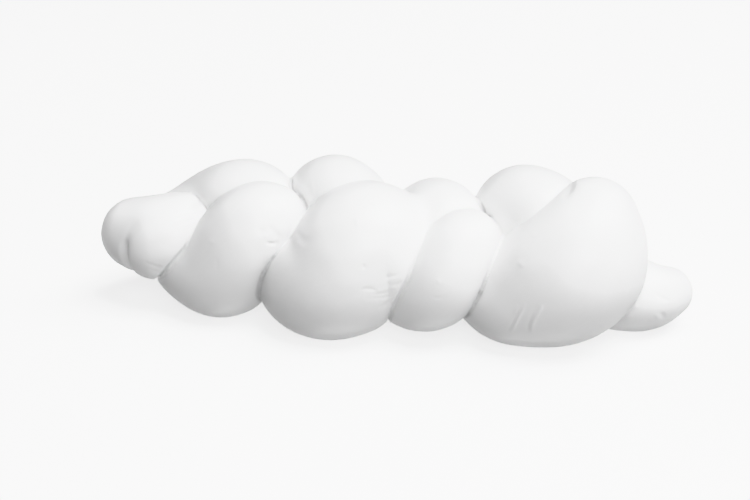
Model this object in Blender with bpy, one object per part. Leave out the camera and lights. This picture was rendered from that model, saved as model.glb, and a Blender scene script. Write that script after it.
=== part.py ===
"""Braided buffalo mozzarella: one loaf of fresh cheese, plaited from three strands of curd.

Frame: +X runs along the plait, from the round knob to the small tail, +Y points to its far side
and +Z up. The origin lies under the middle of the plait's box, on the surface that it rests on.
The tables hold millimetres, measured from about the middle of the plait; the mesh is in metres.

Each strand is the skin of a ball of changing size that rolls along a smooth curve. The ball comes
up at one side of the loaf, passes over the middle as a plump lobe, and dives under the next lobe
of the other side. The skins, and that of a flap folded over the knob, are then joined into one
body and pressed flat underneath.
"""

import math
from typing import NamedTuple

import bmesh
import bpy
import numpy as np

MM = 0.001

# Driving dimensions, in millimetres.
DIVE_HEIGHT = 20.0  # middle of a strand where it passes under the other two
DIVE_RADIUS = 13.0  # its radius there
TABLE_HEIGHT = 1.0  # everything below this height is pressed flat by the loaf's own weight
TABLE_SIZE = 400.0  # side of the block that cuts the flat spots

# Fineness of the skins.
RING_SPACING = 3.8  # along a strand, in millimetres
RING_SIDES = 38
CAP_RINGS = 6  # on each rounded end of a strand
WELD_DISTANCE = 0.02  # points of the joined body that lie closer than this become one

CURD_COLOUR = (0.855, 0.855, 0.835, 1.0)  # linear
CURD_ROUGHNESS = 0.35


class Ball(NamedTuple):
    """A ball that a strand's skin touches: its centre (x, y, z) and its radius."""

    x: float
    y: float
    z: float
    radius: float


# A lobe's balls run from its heel, low at one side of the loaf, over its belly to its crown, on
# top. The lobes are numbered from the knob's end. Each lies over the crown of the one before it
# on the other side, in the order far_1, near_1, far_2, near_2 and so on.
LOBES = {
    "knob": (Ball(-108.5, 3, 31.5, 15), Ball(-98, 2, 32, 17), Ball(-89, 5, 34, 15)),
    "fold": (Ball(-99, -1, 30.5, 16), Ball(-92, 1, 31.5, 16), Ball(-86, 4, 34.5, 13.5)),
    "far_1": (
        Ball(-99, 13, 28, 15),
        Ball(-87, 20, 29, 19),
        Ball(-75, 21, 36, 20),
        Ball(-61, 14, 39, 20.5),
    ),
    "near_1": (
        Ball(-94, 3, 26, 13),
        Ball(-73, -1, 20.5, 20.5),
        Ball(-63, -2, 31, 20.5),
        Ball(-55, -1, 42, 17),
    ),
    "far_2": (Ball(-43, 24, 20, 19), Ball(-30, 20, 45, 18.5), Ball(-21, 11, 45, 18.5)),
    "near_2": (
        Ball(-35, -9, 20, 19),
        Ball(-19, -8, 26.5, 26),
        Ball(-11, -3, 36, 26.5),
        Ball(-4, -2, 31.5, 24.5),
    ),
    "far_3": (Ball(-4, 25, 19, 18), Ball(10, 22, 39, 16), Ball(19, 9, 41, 17)),
    "near_3": (
        Ball(8, -8, 19, 14),
        Ball(19, -12, 25.5, 16.5),
        Ball(29.5, -4, 41.5, 13.2),
        Ball(34, 2, 35, 11.5),
    ),
    "far_4": (
        Ball(37, 25, 20, 18),
        Ball(48, 20, 45.5, 18.7),
        Ball(59, 12, 45, 19.5),
        Ball(69, 7, 38, 16),
    ),
    "near_4": (
        Ball(47, -9, 18.5, 16),
        Ball(55.5, -6, 22.5, 22),
        Ball(73, -2, 35, 27),
        Ball(78, 3, 50.5, 18),
    ),
    "tail": (Ball(88, 15, 16, 16), Ball(101, 13, 15.5, 13.5), Ball(108, 17, 16, 10.5)),
}

# The three strands, each as the lobes that it makes from the knob's end to the tail's end, and
# the short flap that is folded over the knob.
STRANDS = (
    ("far_1", "near_2", "far_4"),
    ("near_1", "far_3", "near_4"),
    ("knob", "far_2", "near_3", "tail"),
    ("fold",),
)


def remove_objects():
    """Empty the scene."""
    for old in list(bpy.data.objects):
        bpy.data.objects.remove(old, do_unlink=True)


def dive_between(crown, heel):
    """The ball halfway between a crown and the next heel, where the strand is thin and low."""
    return Ball((crown.x + heel.x) / 2, (crown.y + heel.y) / 2, DIVE_HEIGHT, DIVE_RADIUS)


def strand_balls(lobe_names):
    """All the balls of one strand, with a dive between each lobe and the next, as rows."""
    balls = list(LOBES[lobe_names[0]])
    for name in lobe_names[1:]:
        balls.append(dive_between(balls[-1], LOBES[name][0]))
        balls.extend(LOBES[name])
    return np.array(balls, dtype=float)


def natural_spline(knots, rows, at):
    """Natural cubic spline that passes through rows at knots, read at the parameters at."""
    count = len(knots)
    gaps = np.diff(knots)
    system = np.eye(count)
    right = np.zeros_like(rows)
    for i in range(1, count - 1):
        system[i, i - 1 : i + 2] = gaps[i - 1], 2 * (gaps[i - 1] + gaps[i]), gaps[i]
        right[i] = 6 * ((rows[i + 1] - rows[i]) / gaps[i] - (rows[i] - rows[i - 1]) / gaps[i - 1])
    bend = np.linalg.solve(system, right)
    span = np.clip(np.searchsorted(knots, at, side="right") - 1, 0, count - 2)
    gap = gaps[span][:, None]
    after = (at[:, None] - knots[span][:, None]) / gap
    before = 1 - after
    line = before * rows[span] + after * rows[span + 1]
    sag = (before**3 - before) * bend[span] + (after**3 - after) * bend[span + 1]
    return line + sag * gap**2 / 6


def strand_rings(balls):
    """Circles in which the rolling ball touches its own skin, with a round cap on each end.

    Where the ball's radius grows by g for each millimetre of travel, it touches the skin in a
    circle that lies g times its radius behind its centre and is sqrt(1 - g * g) times as wide.
    Returns the circles' centres, directions and radii.
    """
    travel = np.linalg.norm(np.diff(balls[:, :3], axis=0), axis=1)
    knots = np.concatenate([[0.0], np.cumsum(travel)])
    count = 1 + round(knots[-1] / RING_SPACING)
    path = natural_spline(knots, balls, np.linspace(0, knots[-1], count))
    centre, radius = path[:, :3], path[:, 3]
    step = np.linalg.norm(np.diff(centre, axis=0), axis=1)
    length = np.concatenate([[0.0], np.cumsum(step)])
    direction = np.gradient(centre, length, axis=0)
    direction /= np.linalg.norm(direction, axis=1)[:, None]
    growth = np.clip(np.gradient(radius, length), -0.95, 0.95)

    rings = [(centre - (radius * growth)[:, None] * direction, direction, radius * np.sqrt(1 - growth**2))]
    for end, pole in ((0, -math.pi / 2), (-1, math.pi / 2)):
        tilt = np.linspace(pole, -math.asin(growth[end]), CAP_RINGS, endpoint=False)[1:, None]
        if end:
            tilt = tilt[::-1]
        cap_centre = centre[end] + radius[end] * np.sin(tilt) * direction[end]
        cap_direction = np.repeat(direction[end][None], len(tilt), axis=0)
        cap_radius = radius[end] * np.cos(tilt[:, 0])
        rings.insert(0 if end == 0 else len(rings), (cap_centre, cap_direction, cap_radius))
    poles = (centre[0] - radius[0] * direction[0], centre[-1] + radius[-1] * direction[-1])
    return [np.concatenate(column) for column in zip(*rings)], poles


def across(directions):
    """One unit vector square to each direction, turned as little as possible along the way."""
    side = np.cross(directions[0], (0.0, 0.0, 1.0))
    sides = []
    for direction in directions:
        side = side - direction * np.dot(side, direction)
        side = side / np.linalg.norm(side)
        sides.append(side)
    return np.array(sides)


def strand_object(name, lobe_names):
    """One strand as a closed skin of rings, with a fan of triangles on each pole."""
    (centres, directions, radii), poles = strand_rings(strand_balls(lobe_names))
    first = across(directions)
    second = np.cross(directions, first)
    turn = np.linspace(0, 2 * math.pi, RING_SIDES, endpoint=False)
    spoke = first[:, None] * np.cos(turn)[:, None] + second[:, None] * np.sin(turn)[:, None]
    skin = centres[:, None] + spoke * radii[:, None, None]
    points = np.concatenate([skin.reshape(-1, 3), poles]) * MM

    count = len(radii)
    here = np.arange(RING_SIDES)
    there = (here + 1) % RING_SIDES
    faces = []
    for ring in range(count - 1):
        low, high = ring * RING_SIDES, (ring + 1) * RING_SIDES
        faces += [(low + a, low + b, high + b, high + a) for a, b in zip(here, there)]
    start, stop = len(points) - 2, len(points) - 1
    last = (count - 1) * RING_SIDES
    faces += [(start, b, a) for a, b in zip(here, there)]
    faces += [(stop, last + a, last + b) for a, b in zip(here, there)]

    mesh = bpy.data.meshes.new(name)
    mesh.from_pydata(points.tolist(), [], [tuple(int(i) for i in face) for face in faces])
    strand = bpy.data.objects.new(name, mesh)
    bpy.context.scene.collection.objects.link(strand)
    return strand


def apply_modifiers(obj):
    """Replace an object's mesh by what its modifiers make of it."""
    shaped = bpy.data.meshes.new_from_object(obj.evaluated_get(bpy.context.evaluated_depsgraph_get()))
    obj.modifiers.clear()
    obj.data = shaped


def join_strands(strands):
    """Join the strands into one body by a Boolean union on a collection, and name it braid."""
    braid = strands[0]
    others = bpy.data.collections.new("other_strands")
    bpy.context.scene.collection.children.link(others)
    for strand in strands[1:]:
        bpy.context.scene.collection.objects.unlink(strand)
        others.objects.link(strand)
    union = braid.modifiers.new("union", "BOOLEAN")
    union.operation = "UNION"
    union.operand_type = "COLLECTION"
    union.collection = others
    union.solver = "EXACT"
    union.use_self = True
    apply_modifiers(braid)
    for strand in strands[1:]:
        bpy.data.objects.remove(strand, do_unlink=True)
    bpy.data.collections.remove(others)
    braid.name = braid.data.name = "braid"
    return braid


def press_flat(braid):
    """Cut away what lies below the table's height, which leaves a flat spot under each low lobe."""
    bpy.ops.mesh.primitive_cube_add(size=TABLE_SIZE * MM)
    table = bpy.context.object
    table.location.z = (TABLE_HEIGHT - TABLE_SIZE / 2) * MM
    cut = braid.modifiers.new("table", "BOOLEAN")
    cut.operation = "DIFFERENCE"
    cut.object = table
    cut.solver = "EXACT"
    apply_modifiers(braid)
    bpy.data.objects.remove(table, do_unlink=True)


def loose_shells(bm):
    """The mesh's separate shells, each as the set of its points, largest first."""
    left, shells = set(bm.verts), []
    while left:
        shell, edge = set(), {left.pop()}
        while edge:
            shell |= edge
            edge = {line.other_vert(point) for point in edge for line in point.link_edges} - shell
        left -= shell
        shells.append(shell)
    return sorted(shells, key=len, reverse=True)


def folded_slivers(bm):
    """Triangles that lie back to back on the same three points and so enclose nothing."""
    same_points = {}
    for face in bm.faces:
        same_points.setdefault(frozenset(face.verts), []).append(face)
    return [face for faces in same_points.values() if len(faces) > 1 for face in faces]


def drop_scraps(braid):
    """Weld the slivers along the creases, and remove what then isn't part of the one skin."""
    bm = bmesh.new()
    bm.from_mesh(braid.data)
    bmesh.ops.remove_doubles(bm, verts=bm.verts, dist=WELD_DISTANCE * MM)
    for scrap in loose_shells(bm)[1:]:
        bmesh.ops.delete(bm, geom=list(scrap), context="VERTS")
    bmesh.ops.triangulate(bm, faces=bm.faces)
    bmesh.ops.delete(bm, geom=folded_slivers(bm), context="FACES")
    bm.to_mesh(braid.data)
    bm.free()


def set_on_origin(braid):
    """Move the mesh so that the origin is under the middle of its box, at table height."""
    count = len(braid.data.vertices)
    points = np.empty(count * 3)
    braid.data.vertices.foreach_get("co", points)
    points = points.reshape(-1, 3)
    low, high = points.min(axis=0), points.max(axis=0)
    points -= ((low[0] + high[0]) / 2, (low[1] + high[1]) / 2, low[2])
    braid.data.vertices.foreach_set("co", points.ravel())
    braid.data.update()


def curd_material():
    """Fresh cheese: porcelain white and a little moist."""
    material = bpy.data.materials.new("curd")
    material.use_nodes = True
    shader = material.node_tree.nodes["Principled BSDF"]
    shader.inputs["Base Color"].default_value = CURD_COLOUR
    shader.inputs["Roughness"].default_value = CURD_ROUGHNESS
    shader.inputs["Metallic"].default_value = 0.0
    return material


def main():
    """Build the braid."""
    remove_objects()
    strands = [strand_object(f"strand_{i}", names) for i, names in enumerate(STRANDS)]
    braid = join_strands(strands)
    press_flat(braid)
    drop_scraps(braid)
    set_on_origin(braid)
    braid.data.materials.clear()
    braid.data.materials.append(curd_material())
    braid.data.shade_smooth()
    braid.data.set_sharp_from_angle(angle=math.radians(50))


main()
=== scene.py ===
"""Looks of a braided buffalo mozzarella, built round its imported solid.

The loaf is one skin. Each strand is the skin of a ball that rolls along a smooth curve, the
strands are melted together where they press on each other, and the relief of stretched curd is
laid on top. The tables hold millimetres in the plait's own frame: +X runs from the knob to the
tail, +Y to the far side and +Z up, and the origin is near the middle of the plait. Pixels are
those of the 750 x 500 photograph. Meshes are in metres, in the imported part's frame.
"""

import logging
import math
from dataclasses import dataclass, field
from enum import Enum
from typing import Callable, NamedTuple

import bpy
import numpy as np
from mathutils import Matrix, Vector


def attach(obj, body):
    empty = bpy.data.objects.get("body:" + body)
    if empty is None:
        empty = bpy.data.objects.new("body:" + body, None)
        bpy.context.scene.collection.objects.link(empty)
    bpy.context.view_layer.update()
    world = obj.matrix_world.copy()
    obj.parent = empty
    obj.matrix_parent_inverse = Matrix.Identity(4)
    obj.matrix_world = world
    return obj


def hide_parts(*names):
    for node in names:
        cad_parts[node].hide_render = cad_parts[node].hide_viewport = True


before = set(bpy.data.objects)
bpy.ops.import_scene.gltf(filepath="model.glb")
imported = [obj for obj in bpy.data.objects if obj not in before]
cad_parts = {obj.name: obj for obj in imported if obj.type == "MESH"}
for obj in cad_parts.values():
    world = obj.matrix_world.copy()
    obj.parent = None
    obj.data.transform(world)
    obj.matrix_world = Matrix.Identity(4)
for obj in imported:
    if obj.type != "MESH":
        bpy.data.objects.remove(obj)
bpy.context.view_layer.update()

MM = 0.001
# A Mix node's colour sockets share their names with its other sockets, so they go by number.
MIX_A, MIX_B, MIX_RESULT = 6, 7, 2
log = logging.getLogger("braid")


# ------------------------------------------------------------
# Sizes of the plait
# ------------------------------------------------------------


class Ball(NamedTuple):
    """A ball that a strand's skin touches: its centre (x, y, z) and its radius."""

    x: float
    y: float
    z: float
    radius: float


# A lobe's balls run from its heel, low at one side of the loaf, over its belly to its crown, on
# top. Each lobe lies over the crown of the one before it on the other side.
LOBES = {
    "knob": (Ball(-108.5, 3, 31.5, 15), Ball(-98, 2, 32, 17), Ball(-89, 5, 34, 15)),
    "fold": (Ball(-99, -1, 30.5, 16), Ball(-92, 1, 31.5, 16), Ball(-86, 4, 34.5, 13.5)),
    "far_1": (
        Ball(-99, 13, 28, 15),
        Ball(-87, 20, 29, 19),
        Ball(-75, 21, 36, 20),
        Ball(-61, 14, 39, 20.5),
    ),
    "near_1": (
        Ball(-94, 3, 26, 13),
        Ball(-73, -1, 20.5, 20.5),
        Ball(-63, -2, 31, 20.5),
        Ball(-55, -1, 42, 17),
    ),
    "far_2": (Ball(-43, 24, 20, 19), Ball(-30, 20, 45, 18.5), Ball(-21, 11, 45, 18.5)),
    "near_2": (
        Ball(-35, -9, 20, 19),
        Ball(-19, -8, 26.5, 26),
        Ball(-11, -3, 36, 26.5),
        Ball(-4, -2, 31.5, 24.5),
    ),
    "far_3": (Ball(-4, 25, 19, 18), Ball(10, 22, 39, 16), Ball(19, 9, 41, 17)),
    "near_3": (
        Ball(8, -8, 19, 14),
        Ball(19, -12, 25.5, 16.5),
        Ball(29.5, -4, 41.5, 13.2),
        Ball(34, 2, 35, 11.5),
    ),
    "far_4": (
        Ball(37, 25, 20, 18),
        Ball(48, 20, 45.5, 18.7),
        Ball(59, 12, 45, 19.5),
        Ball(69, 7, 38, 16),
    ),
    "near_4": (
        Ball(47, -9, 18.5, 16),
        Ball(55.5, -6, 22.5, 22),
        Ball(73, -2, 35, 27),
        Ball(78, 3, 50.5, 18),
    ),
    "tail": (Ball(88, 15, 16, 16), Ball(101, 13, 15.5, 13.5), Ball(108, 17, 16, 10.5)),
}

# The three strands, and the short flap that is folded over the knob.
STRANDS = (
    ("far_1", "near_2", "far_4"),
    ("near_1", "far_3", "near_4"),
    ("knob", "far_2", "near_3", "tail"),
    ("fold",),
)


class Press(NamedTuple):
    """How two strands meet near a place: over what width they melt together, and how deep the cleft is."""

    x: float
    y: float
    z: float
    reach: float
    melt: float
    cleft: float


# Where the creases are softer or sharper than their height on the loaf alone would make them.
PRESSES = (
    Press(-111, -12, 29, 6, 0.8, 2.6),  # fold against knob, low
    Press(-107, -13, 38, 5, 2.2, 0.4),
    Press(-94, -8, 45, 9, 4.0, 0.1),  # the fold fades out on top
    Press(-82, 3, 48, 5, 0.6, 1.3),  # knob and fold against far_1
    Press(-87, -14, 30, 7, 0.7, 2.6),  # fold against near_1
    Press(-82, -10, 40, 5, 1.2, 0.3),
    Press(-45, 13, 54, 5, 0.6, 1.5),  # near_1 against far_2
    Press(-39, 2, 51, 5, 0.6, 1.5),
    Press(-42, -12, 43, 6, 1.2, 0.15),  # near_1 against near_2
    Press(-51, -19, 24, 7, 0.9, 2.2),
    Press(2, 3, 59, 3, 1.5, 0.5),  # near_2 melts into far_3
    Press(8, -1, 56, 6, 7.0, 0.0),
    Press(13, -3, 54, 4, 5.0, 0.0),
    Press(21, -9, 53, 5, 0.8, 0.3),  # far_3 against near_3
    Press(29, 15, 54, 4, 1.2, 0.6),  # far_3 and near_3 against far_4
    Press(31, 7, 53, 4.5, 0.6, 2.0),
    Press(35, -2, 52, 4, 0.6, 1.6),
    Press(40, -7, 49, 4, 0.7, 1.0),
    Press(47, -7, 47, 4, 1.6, 0.4),
    Press(43, -12, 41, 7, 1.0, 0.3),  # near_3 against near_4
    Press(40, -17, 34, 5, 0.9, 0.7),
    Press(37, -18, 26, 6, 0.8, 1.4),
    Press(52, -8, 51, 5, 0.8, 0.8),  # far_4 against near_4
    Press(59, -4, 59, 6, 0.8, 0.6),
    Press(67, 5, 63, 5, 1.0, 1.4),
)


class Form(Enum):
    """Whether a mark stands out of the skin or is pressed into it."""

    RIDGE = 1.0
    GROOVE = -1.0


class Mark(NamedTuple):
    """A small line or spot on the skin, drawn through pixels of the photograph."""

    lobes: str  # the lobes that it may lie on, with spaces between their names
    form: Form
    width: float
    height: float
    pixels: tuple[tuple[float, float], ...]


# Widths and heights are in millimetres and lines in pixels. One pixel alone makes a spot.
MARKS = (
    Mark("knob fold", Form.GROOVE, 1.3, 0.28, ((172, 221), (188, 214), (205, 209))),
    Mark("knob fold", Form.GROOVE, 1.3, 0.24, ((178, 226), (192, 219), (206, 211))),
    Mark("fold", Form.GROOVE, 1.3, 0.28, ((143, 262), (156, 267), (168, 270))),
    Mark("fold", Form.GROOVE, 1.3, 0.28, ((148, 270), (158, 273), (166, 275))),
    Mark("near_1", Form.GROOVE, 1.4, 0.5, ((265, 242), (272, 243.5), (279, 241))),
    Mark("near_1", Form.GROOVE, 3.4, 0.22, ((261, 231),)),
    Mark("near_1", Form.GROOVE, 3.0, 0.20, ((271, 229),)),
    Mark("near_1", Form.GROOVE, 3.2, 0.22, ((277, 235),)),
    Mark("near_1", Form.RIDGE, 2.2, 0.16, ((266, 236),)),
    Mark("near_1", Form.RIDGE, 2.0, 0.10, ((212, 242),)),
    Mark("near_1", Form.GROOVE, 1.8, 0.08, ((216, 257), (217, 265), (216, 273))),
    Mark("near_2", Form.GROOVE, 2.2, 0.16, ((297, 232), (300.5, 237), (298, 243))),
    Mark("near_2", Form.GROOVE, 3.2, 0.10, ((304, 241),)),
    Mark("near_2", Form.RIDGE, 1.6, 0.12, ((355, 216), (357, 221), (356, 226))),
    Mark("near_2", Form.GROOVE, 1.8, 0.25, ((364, 267),)),
    Mark("near_2", Form.GROOVE, 1.5, 0.17, ((382, 277.5), (392, 276.5), (402, 274))),
    Mark("near_2", Form.GROOVE, 1.5, 0.17, ((388, 285.5), (397, 284.5), (404, 281.5))),
    Mark("near_2", Form.GROOVE, 1.5, 0.17, ((359, 290), (369, 289), (378, 291))),
    Mark("near_2", Form.GROOVE, 1.5, 0.20, ((370, 294.5), (383, 293.5), (396, 289.5))),
    Mark("near_2", Form.GROOVE, 1.5, 0.17, ((364, 299), (379, 298), (392, 295.5), (400, 291))),
    Mark("near_2", Form.GROOVE, 1.6, 0.24, ((378, 309), (386, 304.5), (394, 298))),
    Mark("far_2", Form.GROOVE, 1.3, 0.12, ((309, 177), (310, 189), (311, 200))),
    Mark("far_2", Form.GROOVE, 1.3, 0.10, ((314.5, 175), (315, 186), (315, 196))),
    Mark("near_3", Form.RIDGE, 2.0, 0.14, ((437, 278), (440, 285))),
    Mark("near_3", Form.GROOVE, 1.6, 0.12, ((430, 296), (438, 298), (447, 295))),
    Mark("near_4", Form.GROOVE, 3.0, 0.8, ((574, 180), (569.5, 188), (563, 199))),
    Mark("near_4", Form.RIDGE, 1.6, 0.42, ((526.5, 302), (517, 320), (511, 332))),
    Mark("near_4", Form.GROOVE, 1.4, 0.16, ((523, 305), (513, 323), (506.5, 331.5))),
    Mark("near_4", Form.RIDGE, 1.2, 0.14, ((518, 304), (514, 314))),
    Mark("near_4", Form.RIDGE, 1.7, 0.42, ((541, 304), (540, 310), (533, 323), (533, 334))),
    Mark("near_4", Form.GROOVE, 1.4, 0.14, ((536.5, 306), (529.5, 321), (528, 332))),
    Mark("near_4", Form.RIDGE, 2.2, 0.18, ((516, 261), (521, 264), (523, 268))),
    Mark("near_4", Form.RIDGE, 1.8, 0.14, ((533.5, 235),)),
    Mark("tail", Form.GROOVE, 1.8, 0.30, ((655, 293), (662, 298), (671, 300.5))),
    Mark("tail", Form.RIDGE, 2.6, 0.30, ((633, 305), (638, 309))),
    Mark("tail", Form.RIDGE, 2.4, 0.26, ((627, 314), (632, 318))),
    Mark("tail", Form.GROOVE, 2.0, 0.35, ((662, 312), (664.5, 320))),
    Mark("tail", Form.RIDGE, 2.0, 0.25, ((657, 313), (659, 321))),
    Mark("tail", Form.GROOVE, 1.6, 0.22, ((646, 319), (649, 325))),
)


# ------------------------------------------------------------
# Small helpers
# ------------------------------------------------------------


def linear(hex_colour: str) -> tuple[float, float, float, float]:
    """Turn an sRGB hex colour into a linear colour with alpha.

    Args:
        hex_colour: a colour such as "#F1F1EF".

    Returns:
        Red, green, blue and alpha.
    """
    shares = [int(hex_colour[i : i + 2], 16) / 255 for i in (1, 3, 5)]
    bands = [s / 12.92 if s <= 0.04045 else ((s + 0.055) / 1.055) ** 2.4 for s in shares]
    return (*bands, 1.0)


def add_node(tree: bpy.types.NodeTree, kind: str, settings: dict, sockets: dict) -> bpy.types.Node:
    """Add one node to a tree.

    Args:
        tree: the node tree.
        kind: the node's type, such as "ShaderNodeBump".
        settings: the node's own properties by name.
        sockets: what each input takes, by name or number: a value or another node's output.

    Returns:
        The new node.
    """
    node = tree.nodes.new(kind)
    for name, value in settings.items():
        setattr(node, name, value)
    for name, value in sockets.items():
        if isinstance(value, bpy.types.NodeSocket):
            tree.links.new(value, node.inputs[name])
        else:
            node.inputs[name].default_value = value
    return node


def natural_spline(knots: np.ndarray, rows: np.ndarray, at: np.ndarray) -> np.ndarray:
    """Natural cubic spline: between two knots, the line between their rows plus a cubic sag on each side.

    Args:
        knots: the rising parameter of each row.
        rows: one row of values for each knot.
        at: the parameters to read.

    Returns:
        One row for each parameter in at.
    """
    count = len(knots)
    gaps = np.diff(knots)
    system = np.eye(count)
    right = np.zeros_like(rows)
    for i in range(1, count - 1):
        system[i, i - 1 : i + 2] = gaps[i - 1], 2 * (gaps[i - 1] + gaps[i]), gaps[i]
        right[i] = 6 * ((rows[i + 1] - rows[i]) / gaps[i] - (rows[i] - rows[i - 1]) / gaps[i - 1])
    bend = np.linalg.solve(system, right)
    span = np.clip(np.searchsorted(knots, at, side="right") - 1, 0, count - 2)
    gap = gaps[span][:, None]
    after = (at[:, None] - knots[span][:, None]) / gap
    before = 1 - after
    line = before * rows[span] + after * rows[span + 1]
    sag = (before**3 - before) * bend[span] + (after**3 - after) * bend[span + 1]
    return line + sag * gap**2 / 6


def smooth_step(low: float, high: float, values: np.ndarray) -> np.ndarray:
    """Rise from 0 at low to 1 at high, level at both ends: 3 t^2 - 2 t^3."""
    share = np.clip((values - low) / (high - low), 0, 1)
    return share * share * (3 - 2 * share)


@dataclass
class Swell:
    """Smooth unevenness: the mean of many cosine waves of seeded directions, lengths and phases.

    Its value is mostly between -1 and 1. stretch scales the axes that it reads, so that a small
    number draws the pattern out along that axis.
    """

    shortest: float
    longest: float
    seed: int
    count: int = 28
    stretch: tuple[float, float, float] = (1.0, 1.0, 1.0)

    def __post_init__(self) -> None:
        """Draw the waves."""
        draw = np.random.default_rng(self.seed)
        across = draw.normal(size=(self.count, 3))
        across /= np.linalg.norm(across, axis=1)[:, None]
        lengths = self.shortest * (self.longest / self.shortest) ** draw.random(self.count)
        self.waves = across * (2 * math.pi / lengths)[:, None] * np.array(self.stretch)
        self.phases = draw.random(self.count) * 2 * math.pi

    def read(self, points: np.ndarray) -> np.ndarray:
        """Sum of cos(wave . point + phase) over the waves, scaled by sqrt(2 / count)."""
        return np.cos(points @ self.waves.T + self.phases).sum(axis=1) * math.sqrt(0.5 / self.count)


# ------------------------------------------------------------
# The camera, which the marks are also drawn through
# ------------------------------------------------------------


@dataclass(frozen=True)
class PhotoCamera:
    """The photograph's view: a long lens that looks a little down on the near side."""

    azimuth: float = 10.0
    elevation: float = 25.0
    lens: float = 90.0
    sensor: float = 36.0
    distance: float = 753.0
    target: tuple[float, float, float] = (0.0, 0.0, 30.0)
    target_pixel: tuple[float, float] = (396.0, 258.5)
    frame_size: tuple[int, int] = (750, 500)

    def axes(self) -> np.ndarray:
        """The view's own directions.

        Returns:
            Right, up and forward, as rows.
        """
        turn, dip = math.radians(self.azimuth), math.radians(self.elevation)
        right = np.array([math.cos(turn), math.sin(turn), 0.0])
        level = math.cos(dip)
        forward = np.array([-math.sin(turn) * level, math.cos(turn) * level, -math.sin(dip)])
        return np.array([right, np.cross(right, forward), forward])

    def place(self) -> np.ndarray:
        """Where the camera stands, in the plait's frame."""
        return np.array(self.target) - self.distance * self.axes()[2]

    def pixels(self, points: np.ndarray) -> tuple[np.ndarray, np.ndarray]:
        """Where points of the plait's frame fall in the photograph.

        Args:
            points: rows of x, y and z in millimetres.

        Returns:
            The pixels as rows, and how many pixels a millimetre measures at each point.
        """
        across, up, deep = ((points - self.place()) @ self.axes().T).T
        scale = self.lens / self.sensor * self.frame_size[0] / deep
        column, line = self.target_pixel
        return np.stack([column + across * scale, line - up * scale], axis=1), scale

    def build(self, origin: np.ndarray) -> None:
        """Put the camera in the scene.

        Args:
            origin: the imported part's origin, in the plait's frame.
        """
        data = bpy.data.cameras.new("photo_view")
        data.lens = self.lens
        data.sensor_width = self.sensor
        data.shift_x = (self.frame_size[0] / 2 - self.target_pixel[0]) / self.frame_size[0]
        data.shift_y = (self.target_pixel[1] - self.frame_size[1] / 2) / self.frame_size[0]
        data.clip_end = 20.0
        camera = bpy.data.objects.new("photo_view", data)
        bpy.context.scene.collection.objects.link(camera)
        camera.location = Vector((self.place() - origin) * MM)
        camera.rotation_euler = Vector(self.axes()[2]).to_track_quat("-Z", "Y").to_euler()
        bpy.context.scene.camera = camera


# ------------------------------------------------------------
# Strands and the plait that they make
# ------------------------------------------------------------


class Touch(NamedTuple):
    """What one strand is to a set of points, one value or row for each point."""

    distance: np.ndarray  # how far outside its skin the point lies
    outward: np.ndarray  # straight out of the skin
    rope: np.ndarray  # the place on the strand before it was plaited: along, and two ways across


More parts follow.
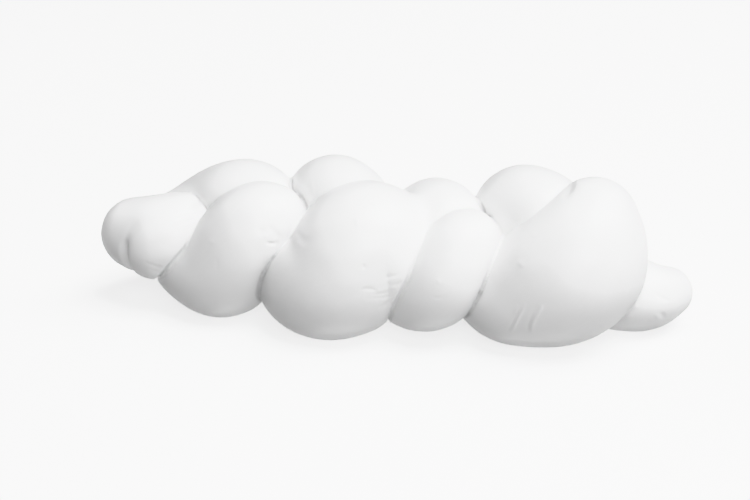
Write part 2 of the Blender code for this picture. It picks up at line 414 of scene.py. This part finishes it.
@dataclass
class Strand:
    """One rope of curd: the skin of a ball that rolls along a smooth curve through its lobes' balls.

    Between two lobes the ball dives under the strand that crosses there.
    """

    lobes: tuple[str, ...]
    dive_height: float = 20.0
    dive_radius: float = 13.0
    stop_spacing: float = 1.5
    sides: int = 56
    cap_rings: int = 12
    most_growth: float = 0.95

    def __post_init__(self) -> None:
        """Roll the ball: its stops' centres and radii, the directions across, and where the lobes end."""
        balls = list(LOBES[self.lobes[0]])
        dives = []
        for name in self.lobes[1:]:
            crown, heel = balls[-1], LOBES[name][0]
            dives.append(len(balls))
            middle = (crown.x + heel.x) / 2, (crown.y + heel.y) / 2
            balls.append(Ball(*middle, self.dive_height, self.dive_radius))
            balls.extend(LOBES[name])
        rows = np.array(balls, dtype=float)
        knots = np.concatenate([[0.0], np.cumsum(np.linalg.norm(np.diff(rows[:, :3], axis=0), axis=1))])
        self.travel = np.linspace(0.0, knots[-1], math.ceil(knots[-1] / self.stop_spacing) + 1)
        stops = natural_spline(knots, rows, self.travel)
        self.centres, self.radii = stops[:, :3], stops[:, 3]
        self.lobe_ends = knots[dives]
        self.along = np.gradient(self.centres, axis=0)
        self.along /= np.linalg.norm(self.along, axis=1)[:, None]
        self.across = self._carry_across()

    def _carry_across(self) -> np.ndarray:
        """Two directions square to the path at each stop, turned as little as possible along the way.

        Returns:
            Two rows for each stop.
        """
        side = np.cross(self.along[0], (0.0, 0.0, 1.0))
        sides = []
        for direction in self.along:
            side = side - direction * (direction @ side)
            side = side / np.linalg.norm(side)
            sides.append(side)
        first = np.array(sides)
        return np.stack([first, np.cross(self.along, first)], axis=1)

    def nearest(self, points: np.ndarray) -> Touch:
        """Measure the strand's skin from points.

        The skin is as far away as the least of |point - centre| - radius over the ball's stops. A
        parabola through the least stop and its two neighbours finds the ball between the stops.

        Args:
            points: rows of x, y and z.

        Returns:
            The distance, the outward direction and the place on the rope, for each point.
        """
        square = (points**2).sum(axis=1)[:, None] + (self.centres**2).sum(axis=1)
        square = square - 2 * points @ self.centres.T
        away = np.sqrt(np.maximum(square, 0.0)) - self.radii
        row = np.arange(len(points))
        stop = np.clip(away.argmin(axis=1), 1, len(self.radii) - 2)
        before, here, after = away[row, stop - 1], away[row, stop], away[row, stop + 1]
        curve = np.maximum(before - 2 * here + after, 1e-9)
        shift = np.clip((before - after) / (2 * curve), -1.0, 1.0)[:, None]

        def between(values: np.ndarray) -> np.ndarray:
            """Read a column at the stop plus shift, on a parabola through three stops."""
            low, mid, high = values[stop - 1], values[stop], values[stop + 1]
            return mid + shift * (high - low) / 2 + shift**2 * (high - 2 * mid + low) / 2

        spoke = points - between(self.centres)
        length = np.linalg.norm(spoke, axis=1)
        outward = spoke / length[:, None]
        travel = between(self.travel[:, None])[:, 0]
        sides = np.einsum("nij,nj->ni", self.across[stop], spoke)
        return Touch(length - between(self.radii[:, None])[:, 0], outward, np.column_stack([travel, sides]))

    def lobe_at(self, travel: np.ndarray) -> np.ndarray:
        """The number of the lobe in which a place along the rope lies."""
        return np.searchsorted(self.lobe_ends, travel)

    def skin(self) -> tuple[np.ndarray, np.ndarray]:
        """The rolling ball's skin as a grid of rings, closed by round caps.

        Where the radius grows by g for each millimetre, the ball touches the skin in a circle that
        lies g times the radius behind its centre and is sqrt(1 - g^2) times as wide. A cap is half
        of the end ball: rings at sine and cosine of the tilt.

        Returns:
            The points, and the quads as rows of four point numbers.
        """
        step = np.linalg.norm(np.gradient(self.centres, axis=0), axis=1)
        growth = np.clip(np.gradient(self.radii) / step, -self.most_growth, self.most_growth)
        middles = [self.centres - (self.radii * growth)[:, None] * self.along]
        widths = [self.radii * np.sqrt(1 - growth**2)]
        frames = [self.across]
        for end, pole in ((0, -math.pi / 2), (-1, math.pi / 2)):
            tilt = np.linspace(pole, -math.asin(growth[end]), self.cap_rings, endpoint=False)
            tilt = tilt if end == 0 else tilt[::-1]
            at = 0 if end == 0 else len(middles)
            lift = np.outer(self.radii[end] * np.sin(tilt), self.along[end])
            middles.insert(at, self.centres[end] + lift)
            widths.insert(at, self.radii[end] * np.cos(tilt))
            frames.insert(at, np.repeat(self.across[end][None], len(tilt), axis=0))
        middle, width, across = (np.concatenate(parts) for parts in (middles, widths, frames))
        turn = np.linspace(0, 2 * math.pi, self.sides, endpoint=False)
        ring = np.stack([np.cos(turn), np.sin(turn)], axis=1)
        points = middle[:, None] + width[:, None, None] * np.einsum("sk,rkj->rsj", ring, across)
        number = np.arange(len(width) * self.sides).reshape(len(width), self.sides)
        there = np.roll(number, -1, axis=1)
        quads = np.stack([number[:-1], there[:-1], there[1:], number[1:]], axis=-1)
        return points.reshape(-1, 3), quads.reshape(-1, 4)


class Skin(NamedTuple):
    """What the melted plait is to a set of points, one value or row for each point."""

    distance: np.ndarray
    slope: np.ndarray  # the distance's own gradient
    gap: np.ndarray  # how much farther the second strand is than the first: 0 in a crease
    strand: np.ndarray  # number of the first strand
    rope: np.ndarray  # place on that strand


@dataclass
class Plait:
    """The strands melted into one body.

    melt is the width over which two strands run into each other, and cleft the depth of the fine
    line left between them. Both change with height: sharp where the lobes press low down, soft on
    top. PRESSES changes them near single places.
    """

    strands: list[Strand] = field(default_factory=lambda: [Strand(names) for names in STRANDS])
    table_height: float = 1.0
    low: float = 26.0
    high: float = 54.0
    melts: tuple[float, float] = (0.8, 2.2)
    clefts: tuple[float, float] = (1.3, 0.35)
    base_weight: float = 0.12
    least_slope: float = 0.25
    chunk: int = 16000

    def origin(self) -> np.ndarray:
        """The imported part's origin: under the middle of the balls' box, on the table."""
        low = np.min([(s.centres - s.radii[:, None]).min(axis=0) for s in self.strands], axis=0)
        high = np.max([(s.centres + s.radii[:, None]).max(axis=0) for s in self.strands], axis=0)
        return np.array([(low[0] + high[0]) / 2, (low[1] + high[1]) / 2, self.table_height])

    def press(self, points: np.ndarray) -> tuple[np.ndarray, np.ndarray]:
        """Melt width and cleft depth at points.

        Each is a mean of the value for the height and the values of PRESSES, weighted by a bell
        exp(-(distance / reach)^2) round each place.

        Args:
            points: rows of x, y and z.

        Returns:
            The melt widths and the cleft depths.
        """
        rise = smooth_step(self.low, self.high, points[:, 2])
        melt = self.base_weight * (self.melts[0] + (self.melts[1] - self.melts[0]) * rise)
        cleft = self.base_weight * (self.clefts[0] + (self.clefts[1] - self.clefts[0]) * rise)
        total = np.full(len(points), self.base_weight)
        for place in PRESSES:
            apart = ((points - np.array(place[:3])) ** 2).sum(axis=1)
            weight = np.exp(-apart / place.reach**2)
            melt += weight * place.melt
            cleft += weight * place.cleft
            total += weight
        return melt / total, cleft / total

    def read(self, points: np.ndarray) -> Skin:
        """Measure the melted skin from points.

        The distances of the strands are joined in order by a smooth minimum: where b is less than
        melt farther than a, the joined distance is a - melt * h^2, with h = (melt - (b - a)) / melt / 2.

        Args:
            points: rows of x, y and z.

        Returns:
            The skin's measures at each point.
        """
        parts = [self._read_chunk(points[i : i + self.chunk]) for i in range(0, len(points), self.chunk)]
        return Skin(*(np.concatenate(column) for column in zip(*parts)))

    def _read_chunk(self, points: np.ndarray) -> Skin:
        """Measure the melted skin from few enough points to hold in memory at once.

        Args:
            points: rows of x, y and z.

        Returns:
            The skin's measures at each point.
        """
        touches = [strand.nearest(points) for strand in self.strands]
        distances = np.stack([t.distance for t in touches])
        outwards = np.stack([t.outward for t in touches])
        ropes = np.stack([t.rope for t in touches])
        order = np.argsort(distances, axis=0)
        row = np.arange(len(points))
        melt = self.press(points)[0]
        joined, slope = distances[order[0], row], outwards[order[0], row]
        gap = distances[order[1], row] - joined
        for rank in (1, 2):
            other = distances[order[rank], row]
            share = np.clip(melt - (other - joined), 0, None) / melt / 2
            joined = joined - melt * share**2
            slope = (1 - share)[:, None] * slope + share[:, None] * outwards[order[rank], row]
        return Skin(joined, slope, gap, order[0], ropes[order[0], row])

    def settle(self, points: np.ndarray, rounds: int) -> np.ndarray:
        """Move points onto the skin: each round goes back by distance * slope / |slope|^2.

        Args:
            points: rows of x, y and z close to the skin.
            rounds: how many times to move them.

        Returns:
            The moved points.
        """
        for _ in range(rounds):
            skin = self.read(points)
            steep = np.maximum((skin.slope**2).sum(axis=1), self.least_slope)
            points = points - (skin.distance / steep)[:, None] * skin.slope
        return points

    def lobe_names(self, skin: Skin) -> np.ndarray:
        """The name of the lobe on which each measured point lies.

        Args:
            skin: the points' measures.

        Returns:
            One name for each point.
        """
        names = np.empty(len(skin.distance), dtype=object)
        for number, strand in enumerate(self.strands):
            here = skin.strand == number
            names[here] = np.array(strand.lobes, dtype=object)[strand.lobe_at(skin.rope[here, 0])]
        return names


# ------------------------------------------------------------
# A fine mesh on the plait
# ------------------------------------------------------------


@dataclass
class Net:
    """A closed net of triangles that is laid on the plait and made finer where it has to be."""

    points: np.ndarray
    triangles: np.ndarray

    @staticmethod
    def wrap(plait: Plait, voxel: float) -> "Net":
        """Wrap the strands' skins in one even net of voxel size.

        Args:
            plait: the strands.
            voxel: the net's spacing.

        Returns:
            The net, not yet exactly on the skin.
        """
        grids, quads, start = [], [], 0
        for strand in plait.strands:
            grid, faces = strand.skin()
            grids.append(grid)
            quads.append(faces + start)
            start += len(grid)
        mesh = bpy.data.meshes.new("wrap")
        mesh.from_pydata(np.concatenate(grids), [], np.concatenate(quads).tolist())
        wrapped = bpy.data.objects.new("wrap", mesh)
        bpy.context.scene.collection.objects.link(wrapped)
        remesh = wrapped.modifiers.new("remesh", "REMESH")
        remesh.mode = "VOXEL"
        remesh.voxel_size = voxel
        shaped = wrapped.evaluated_get(bpy.context.evaluated_depsgraph_get()).to_mesh()
        shaped.calc_loop_triangles()
        points = np.empty(len(shaped.vertices) * 3)
        shaped.vertices.foreach_get("co", points)
        triangles = np.empty(len(shaped.loop_triangles) * 3, dtype=np.int32)
        shaped.loop_triangles.foreach_get("vertices", triangles)
        bpy.data.objects.remove(wrapped, do_unlink=True)
        bpy.data.meshes.remove(mesh)
        return Net(points.reshape(-1, 3), triangles.reshape(-1, 3).astype(np.int64))

    def edges(self) -> tuple[np.ndarray, np.ndarray]:
        """List each edge once.

        Returns:
            The edges as pairs of point numbers, and for each triangle the numbers of its three edges.
        """
        count = len(self.points)
        start, stop = self.triangles, np.roll(self.triangles, -1, axis=1)
        keys = np.minimum(start, stop) * count + np.maximum(start, stop)
        unique, number = np.unique(keys.ravel(), return_inverse=True)
        return np.stack([unique // count, unique % count], axis=1), number.reshape(-1, 3)

    def even(self, plait: Plait, rounds: int) -> None:
        """Even out the spacing: each point goes halfway to its neighbours' mean, and back to the skin.

        Args:
            plait: the skin.
            rounds: how many times.
        """
        pairs, _ = self.edges()
        both = np.concatenate([pairs, pairs[:, ::-1]])
        degree = np.bincount(both[:, 0], minlength=len(self.points))
        for _ in range(rounds):
            ends = self.points[both[:, 1]]
            sums = [np.bincount(both[:, 0], ends[:, axis], len(self.points)) for axis in range(3)]
            mean = np.stack(sums, axis=1) / degree[:, None]
            self.points = plait.settle((self.points + mean) / 2, 2)

    def refine(self, plait: Plait, wanted: Callable[[np.ndarray], np.ndarray], rounds: int) -> None:
        """Halve each edge that is longer than wanted there, round after round.

        A triangle with one, two or three halved edges becomes two, three or four triangles.

        Args:
            plait: the skin on which the new points are laid.
            wanted: gives the longest wanted edge at each of some points.
            rounds: how many times.
        """
        for _ in range(rounds):
            pairs, number = self.edges()
            ends = self.points[pairs]
            middle = ends.mean(axis=1)
            long = np.linalg.norm(ends[:, 0] - ends[:, 1], axis=1) > wanted(middle)
            if not long.any():
                return
            place = np.full(len(pairs), -1)
            place[long] = len(self.points) + np.arange(long.sum())
            self.points = np.concatenate([self.points, plait.settle(middle[long], 3)])
            self.triangles = self._split(place[number])

    def _split(self, halves: np.ndarray) -> np.ndarray:
        """Split the triangles.

        Args:
            halves: for each triangle, the new point on each of its edges, or -1 where there is none.

        Returns:
            The new triangles.
        """
        cut = halves >= 0
        count = cut.sum(axis=1)
        made = [self.triangles[count == 0]]
        # Turn each triangle so that its first edge is halved and, of two halved edges, the second too.
        turn = np.where(count == 1, cut.argmax(axis=1), 0)
        turn = np.where(count == 2, (~cut).argmax(axis=1) + 1, turn) % 3
        order = (turn[:, None] + np.arange(3)) % 3
        a, b, c = np.take_along_axis(self.triangles, order, axis=1).T
        ab, bc, ca = np.take_along_axis(halves, order, axis=1).T
        one, two, three = count == 1, count == 2, count == 3
        made += [np.stack(t, axis=1)[one] for t in ((a, ab, c), (ab, b, c))]
        made += [np.stack(t, axis=1)[two] for t in ((ab, b, bc), (a, ab, bc), (a, bc, c))]
        made += [np.stack(t, axis=1)[three] for t in ((a, ab, ca), (ab, b, bc), (bc, c, ca), (ab, bc, ca))]
        return np.concatenate(made)


# ------------------------------------------------------------
# Relief
# ------------------------------------------------------------


@dataclass
class Relief:
    """What stands out of the smooth skin, or lies in it: clefts, unevenness, fibres and marks."""

    plait: Plait
    camera: PhotoCamera
    cleft_width: float = 0.6
    valley_depth: float = 0.3
    valley_width: float = 3.2
    valley_melts: tuple[float, float] = (1.5, 4.0)  # a crease melted wider than this has no valley
    open_gap: float = 5.0  # fibres and dimples fade out this near to a crease
    swell_height: float = 0.28
    dimple_height: float = 0.05
    fibre_height: float = 0.022
    patch_range: tuple[float, float] = (-0.6, 1.0)
    mark_reach: float = 1.3
    line_steps: int = 48
    search_steps: int = 12
    finest_edge: float = 0.55
    coarsest_edge: float = 2.4
    mark_edge: float = 0.62
    fine_gap: float = 0.9
    edge_growth: float = 1.1
    melted: float = 4.0
    foot: float = 4.0

    def __post_init__(self) -> None:
        """Draw the uneven patterns."""
        self.swell = Swell(shortest=24.0, longest=48.0, seed=4)
        self.dimple = Swell(shortest=7.0, longest=14.0, seed=9)
        self.fibre = Swell(shortest=3.2, longest=6.5, seed=17, count=40, stretch=(0.12, 1.0, 1.0))
        self.patches = Swell(shortest=18.0, longest=40.0, seed=23)

    def mark_height(self, points: np.ndarray, lobes: np.ndarray, facing: np.ndarray) -> np.ndarray:
        """Height of all the marks at points.

        Across its line a mark is a bell, exp(-(offset / half width)^2); along it the height is
        times sin(pi * share), so that it fades out at both ends. A mark of one pixel is a spot.

        Args:
            points: rows of x, y and z.
            lobes: the name of each point's lobe.
            facing: whether each point faces the camera.

        Returns:
            One height for each point.
        """
        height = np.zeros(len(points))
        pixels, scale = self.camera.pixels(points)
        for mark in MARKS:
            line = np.array(mark.pixels, dtype=float)
            fade = np.ones(1)
            if len(line) > 1:
                share = np.linspace(0, 1, self.line_steps)
                line = natural_spline(np.linspace(0, 1, len(line)), line, share)
                fade = np.sin(math.pi * share)
            reach = mark.width * scale.mean() * self.mark_reach
            inside = (pixels > line.min(axis=0) - reach) & (pixels < line.max(axis=0) + reach)
            here = np.nonzero(inside.all(axis=1) & facing & np.isin(lobes, mark.lobes.split()))[0]
            offset = np.linalg.norm(pixels[here][:, None] - line, axis=2)
            step = offset.argmin(axis=1)
            offset = offset[np.arange(len(here)), step] / scale[here]
            bell = np.exp(-((offset / (mark.width / 2)) ** 2))
            height[here] += mark.form.value * mark.height * bell * fade[step]
        return height

    def marked(self, points: np.ndarray, facing: np.ndarray) -> np.ndarray:
        """Whether each point lies within a mark's width of its line, whatever its lobe.

        Args:
            points: rows of x, y and z.
            facing: whether each point faces the camera.

        Returns:
            One truth value for each point.
        """
        pixels, scale = self.camera.pixels(points)
        close = np.zeros(len(points), dtype=bool)
        for mark in MARKS:
            line = np.array(mark.pixels, dtype=float)
            if len(line) > 1:
                knots = np.linspace(0, 1, len(line))
                line = natural_spline(knots, line, np.linspace(0, 1, self.search_steps))
            reach = mark.width * scale.mean()
            inside = (pixels > line.min(axis=0) - reach) & (pixels < line.max(axis=0) + reach)
            here = np.nonzero(inside.all(axis=1) & facing)[0]
            offset = np.linalg.norm(pixels[here][:, None] - line, axis=2).min(axis=1)
            close[here[offset < reach]] = True
        return close

    def facing(self, points: np.ndarray, outward: np.ndarray) -> np.ndarray:
        """Whether the skin at each point is turned towards the camera."""
        return ((self.camera.place() - points) * outward).sum(axis=1) > 0

    def wanted_edge(self, points: np.ndarray) -> np.ndarray:
        """The longest edge that still draws the relief: short in a crease and at a mark.

        It is finest_edge where the gap is under fine_gap, and edge_growth longer for each further
        millimetre of gap, up to coarsest_edge. Melted creases and the foot have coarsest_edge.

        Args:
            points: rows of x, y and z.

        Returns:
            One length for each point.
        """
        skin = self.plait.read(points)
        melt = self.plait.press(points)[0]
        crease = self.finest_edge + self.edge_growth * (skin.gap - self.fine_gap)
        crease = np.clip(crease, self.finest_edge, self.coarsest_edge)
        crease[melt > self.melted] = self.coarsest_edge
        crease[points[:, 2] < self.foot] = self.coarsest_edge
        close = self.marked(points, self.facing(points, skin.slope))
        return np.where(close, np.minimum(crease, self.mark_edge), crease)

    def lay(self, net: Net) -> np.ndarray:
        """Lay the relief on the net, straight out of its skin.

        The height is the swell, dimples, fibres and marks, less the cleft and the valley. A cleft is
        exp(-(gap / cleft_width)^2) of its depth, and a valley exp(-(gap / valley_width)^2) of its own.

        Args:
            net: the net, whose points are moved.

        Returns:
            Each point's place on its rope.
        """
        points = net.points
        skin = self.plait.read(points)
        outward = skin.slope / np.linalg.norm(skin.slope, axis=1)[:, None]
        melt, cleft = self.plait.press(points)
        crease = np.exp(-((skin.gap / self.cleft_width) ** 2))
        valley = np.exp(-((skin.gap / self.valley_width) ** 2))
        valley *= 1 - smooth_step(*self.valley_melts, melt)
        open_skin = 1 - np.exp(-((skin.gap / self.open_gap) ** 2))
        height = self.swell_height * self.swell.read(points)
        height += self.dimple_height * self.dimple.read(points) * open_skin
        patch = smooth_step(*self.patch_range, self.patches.read(points))
        height += self.fibre_height * self.fibre.read(skin.rope) * patch * open_skin
        height += self.mark_height(points, self.plait.lobe_names(skin), self.facing(points, outward))
        height -= cleft * crease + self.valley_depth * valley
        net.points = points + outward * height[:, None]
        return skin.rope


# ------------------------------------------------------------
# Finishes
# ------------------------------------------------------------


@dataclass(frozen=True)
class CurdFinish:
    """Stretched-curd mozzarella, spun in hot water, plaited by hand and kept in brine.

    The eye gets a porcelain white that light sinks into, a thin moist film that softens each
    highlight, and faint fibres along each strand where the curd was pulled.
    """

    pale: str = "#F7F7F7"
    milky: str = "#F2F2F2"
    patch_mm: float = 26.0
    moist_mm: float = 9.0
    moist_range: tuple[float, float] = (0.35, 0.65)
    roughness: tuple[float, float] = (0.34, 0.46)
    ior: float = 1.42
    scatter: float = 0.55
    scatter_reach: tuple[float, float, float] = (1.0, 1.0, 1.0)
    scatter_mm: float = 1.5
    film: float = 0.12
    film_roughness: float = 0.22
    film_ior: float = 1.33
    fibre_mm: float = 1.4
    fibre_stretch: float = 0.08
    fibre_bump_mm: float = 0.05
    pore_mm: float = 2.6
    pore_bump_mm: float = 0.04
    bump_strength: float = 0.6

    def build(self) -> bpy.types.Material:
        """Make the material.

        Returns:
            The material, which reads Object coordinates and the skin's rope attribute.
        """
        material = bpy.data.materials.new("brined_stretched_curd")
        material.use_nodes = True
        tree = material.node_tree
        tree.nodes.clear()
        place = add_node(tree, "ShaderNodeTexCoord", {}, {}).outputs["Object"]
        rope = add_node(tree, "ShaderNodeAttribute", {"attribute_name": "rope"}, {}).outputs["Vector"]
        patches = add_node(
            tree,
            "ShaderNodeTexNoise",
            {},
            {"Vector": place, "Scale": 1 / (self.patch_mm * MM), "Detail": 3.0, "Roughness": 0.5},
        )
        colour = add_node(
            tree,
            "ShaderNodeMix",
            {"data_type": "RGBA"},
            {"Factor": patches.outputs["Fac"], MIX_A: linear(self.pale), MIX_B: linear(self.milky)},
        )
        moist = add_node(
            tree,
            "ShaderNodeTexNoise",
            {},
            {"Vector": place, "Scale": 1 / (self.moist_mm * MM), "Detail": 4.0, "Roughness": 0.55},
        )
        rough = add_node(
            tree,
            "ShaderNodeMapRange",
            {},
            {
                "Value": moist.outputs["Fac"],
                "From Min": self.moist_range[0],
                "From Max": self.moist_range[1],
                "To Min": self.roughness[0],
                "To Max": self.roughness[1],
            },
        )
        along = add_node(
            tree,
            "ShaderNodeMapping",
            {},
            {"Vector": rope, "Scale": (self.fibre_stretch, 1.0, 1.0)},
        )
        fibres = add_node(
            tree,
            "ShaderNodeTexNoise",
            {},
            {"Vector": along.outputs["Vector"], "Scale": 1 / (self.fibre_mm * MM), "Detail": 2.0},
        )
        pores = add_node(
            tree,
            "ShaderNodeTexNoise",
            {},
            {"Vector": place, "Scale": 1 / (self.pore_mm * MM), "Detail": 3.0, "Roughness": 0.6},
        )
        fibre_bump = add_node(
            tree,
            "ShaderNodeBump",
            {},
            {
                "Strength": self.bump_strength,
                "Distance": self.fibre_bump_mm * MM,
                "Height": fibres.outputs["Fac"],
            },
        )
        pore_bump = add_node(
            tree,
            "ShaderNodeBump",
            {},
            {
                "Strength": self.bump_strength,
                "Distance": self.pore_bump_mm * MM,
                "Height": pores.outputs["Fac"],
                "Normal": fibre_bump.outputs["Normal"],
            },
        )
        shader = add_node(
            tree,
            "ShaderNodeBsdfPrincipled",
            {"subsurface_method": "RANDOM_WALK"},
            {
                "Base Color": colour.outputs[MIX_RESULT],
                "Roughness": rough.outputs["Result"],
                "IOR": self.ior,
                "Subsurface Weight": self.scatter,
                "Subsurface Radius": self.scatter_reach,
                "Subsurface Scale": self.scatter_mm * MM,
                "Coat Weight": self.film,
                "Coat Roughness": self.film_roughness,
                "Coat IOR": self.film_ior,
                "Normal": pore_bump.outputs["Normal"],
            },
        )
        add_node(tree, "ShaderNodeOutputMaterial", {}, {"Surface": shader.outputs["BSDF"]})
        return material


@dataclass(frozen=True)
class OpalFinish:
    """Opal acrylic over a lamp, sanded matt: it glows a little, so the loaf's shadow stays faint."""

    pale: str = "#F4F4F4"
    shade: str = "#F1F1F1"
    grain_mm: float = 4.0
    roughness: float = 0.95
    specular: float = 0.1
    glow: float = 0.6

    def build(self) -> bpy.types.Material:
        """Make the material.

        Returns:
            The material, which reads Object coordinates.
        """
        material = bpy.data.materials.new("opal_acrylic_sheet")
        material.use_nodes = True
        tree = material.node_tree
        tree.nodes.clear()
        place = add_node(tree, "ShaderNodeTexCoord", {}, {}).outputs["Object"]
        grain_scale = 1 / (self.grain_mm * MM)
        grain = add_node(tree, "ShaderNodeTexNoise", {}, {"Vector": place, "Scale": grain_scale})
        colour = add_node(
            tree,
            "ShaderNodeMix",
            {"data_type": "RGBA"},
            {"Factor": grain.outputs["Fac"], MIX_A: linear(self.pale), MIX_B: linear(self.shade)},
        )
        shader = add_node(
            tree,
            "ShaderNodeBsdfPrincipled",
            {},
            {
                "Base Color": colour.outputs[MIX_RESULT],
                "Roughness": self.roughness,
                "Specular IOR Level": self.specular,
                "Emission Color": linear(self.pale),
                "Emission Strength": self.glow,
            },
        )
        add_node(tree, "ShaderNodeOutputMaterial", {}, {"Surface": shader.outputs["BSDF"]})
        return material


# ------------------------------------------------------------
# The loaf and the studio
# ------------------------------------------------------------


@dataclass
class Loaf:
    """The braided cheese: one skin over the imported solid."""

    plait: Plait
    camera: PhotoCamera
    finish: CurdFinish = CurdFinish()
    voxel: float = 1.5
    quick_voxel: float = 2.0
    even_rounds: int = 3
    refine_rounds: int = 4

    def build(self) -> bpy.types.Object:
        """Build, dress and place the loaf.

        Returns:
            The finished object, which rides on the root body.
        """
        net = Net.wrap(self.plait, self.voxel)
        net.points = self.plait.settle(net.points, 3)
        net.even(self.plait, self.even_rounds)
        relief = Relief(self.plait, self.camera)
        net.refine(self.plait, relief.wanted_edge, self.refine_rounds)
        rope = relief.lay(net)
        points = net.points - self.plait.origin()
        points[:, 2] = np.maximum(points[:, 2], 0.0)

        mesh = bpy.data.meshes.new("cheese_braid")
        mesh.vertices.add(len(points))
        mesh.vertices.foreach_set("co", (points * MM).ravel())
        count = len(net.triangles)
        mesh.loops.add(count * 3)
        mesh.loops.foreach_set("vertex_index", net.triangles.astype(np.int32).ravel())
        mesh.polygons.add(count)
        mesh.polygons.foreach_set("loop_start", np.arange(0, count * 3, 3, dtype=np.int32))
        mesh.update(calc_edges=True)
        ropes = mesh.attributes.new("rope", "FLOAT_VECTOR", "POINT")
        ropes.data.foreach_set("vector", (rope * MM).ravel())
        mesh.shade_smooth()
        mesh.materials.append(self.finish.build())
        loaf = bpy.data.objects.new("cheese_braid", mesh)
        bpy.context.scene.collection.objects.link(loaf)
        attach(loaf, "root")
        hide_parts("braid")
        log.info("%s: %d triangles, replaces braid", loaf.name, count)
        return loaf


class Softbox(NamedTuple):
    """A square soft light that looks at the loaf: azimuth runs from -Y towards +X, in degrees."""

    name: str
    azimuth: float
    elevation: float
    distance: float
    side: float
    radiance: float


@dataclass
class Studio:
    """Light table, soft lights and an even surround."""

    finish: OpalFinish = OpalFinish()
    floor_side: float = 9.0
    surround: str = "#FFFFFF"
    surround_strength: float = 0.15
    lights: tuple[Softbox, ...] = (
        Softbox("overhead_softbox", 60, 70, 1.4, 0.8, 6.0),
        Softbox("back_softbox", 110, 50, 1.4, 0.8, 3.7),
        Softbox("front_softbox", 15, 28, 1.4, 0.8, 4.3),
        Softbox("right_fill", 60, 8, 1.4, 0.8, 1.8),
        Softbox("left_fill", -90, 50, 1.4, 0.8, 0.8),
        Softbox("left_rim", -110, 28, 1.4, 0.8, 0.75),
        Softbox("table_lamp", 0, -90, 1.4, 0.8, 1.65),
    )

    def build(self) -> None:
        """Build the floor, the lights and the surround."""
        half = self.floor_side / 2
        mesh = bpy.data.meshes.new("studio_floor")
        corners = [(-half, -half, 0), (half, -half, 0), (half, half, 0), (-half, half, 0)]
        mesh.from_pydata(corners, [], [(0, 1, 2, 3)])
        mesh.materials.append(self.finish.build())
        floor = bpy.data.objects.new("studio_floor", mesh)
        bpy.context.scene.collection.objects.link(floor)
        # The table's own lamp lights the loaf from below, so the sheet neither shades nor bounces.
        floor.visible_diffuse = False
        floor.visible_shadow = False
        for softbox in self.lights:
            self._hang(softbox)
        world = bpy.data.worlds.new("studio_surround")
        world.use_nodes = True
        shade = world.node_tree.nodes["Background"]
        shade.inputs["Color"].default_value = linear(self.surround)
        shade.inputs["Strength"].default_value = self.surround_strength
        bpy.context.scene.world = world
        bpy.context.scene.view_settings.view_transform = "Khronos PBR Neutral"
        log.info("studio: floor, %d softboxes and surround", len(self.lights))

    def _hang(self, softbox: Softbox) -> None:
        """Hang one softbox: its power is radiance times pi times its area.

        Args:
            softbox: the light and its place.
        """
        turn, rise = math.radians(softbox.azimuth), math.radians(softbox.elevation)
        level = math.cos(rise)
        towards = Vector((math.sin(turn) * level, -math.cos(turn) * level, math.sin(rise)))
        data = bpy.data.lights.new(softbox.name, "AREA")
        data.shape = "SQUARE"
        data.size = softbox.side
        data.energy = softbox.radiance * math.pi * softbox.side**2
        lamp = bpy.data.objects.new(softbox.name, data)
        bpy.context.scene.collection.objects.link(lamp)
        lamp.location = towards * softbox.distance
        lamp.rotation_euler = (-towards).to_track_quat("-Z", "Y").to_euler()
        lamp.visible_camera = False


def main() -> None:
    """Build the loaf, the studio and the camera."""
    logging.basicConfig(level=logging.INFO, format="%(name)s: %(message)s")
    plait = Plait()
    camera = PhotoCamera()
    Loaf(plait, camera).build()
    Studio().build()
    camera.build(plait.origin())


if __name__ == "__main__":
    main()
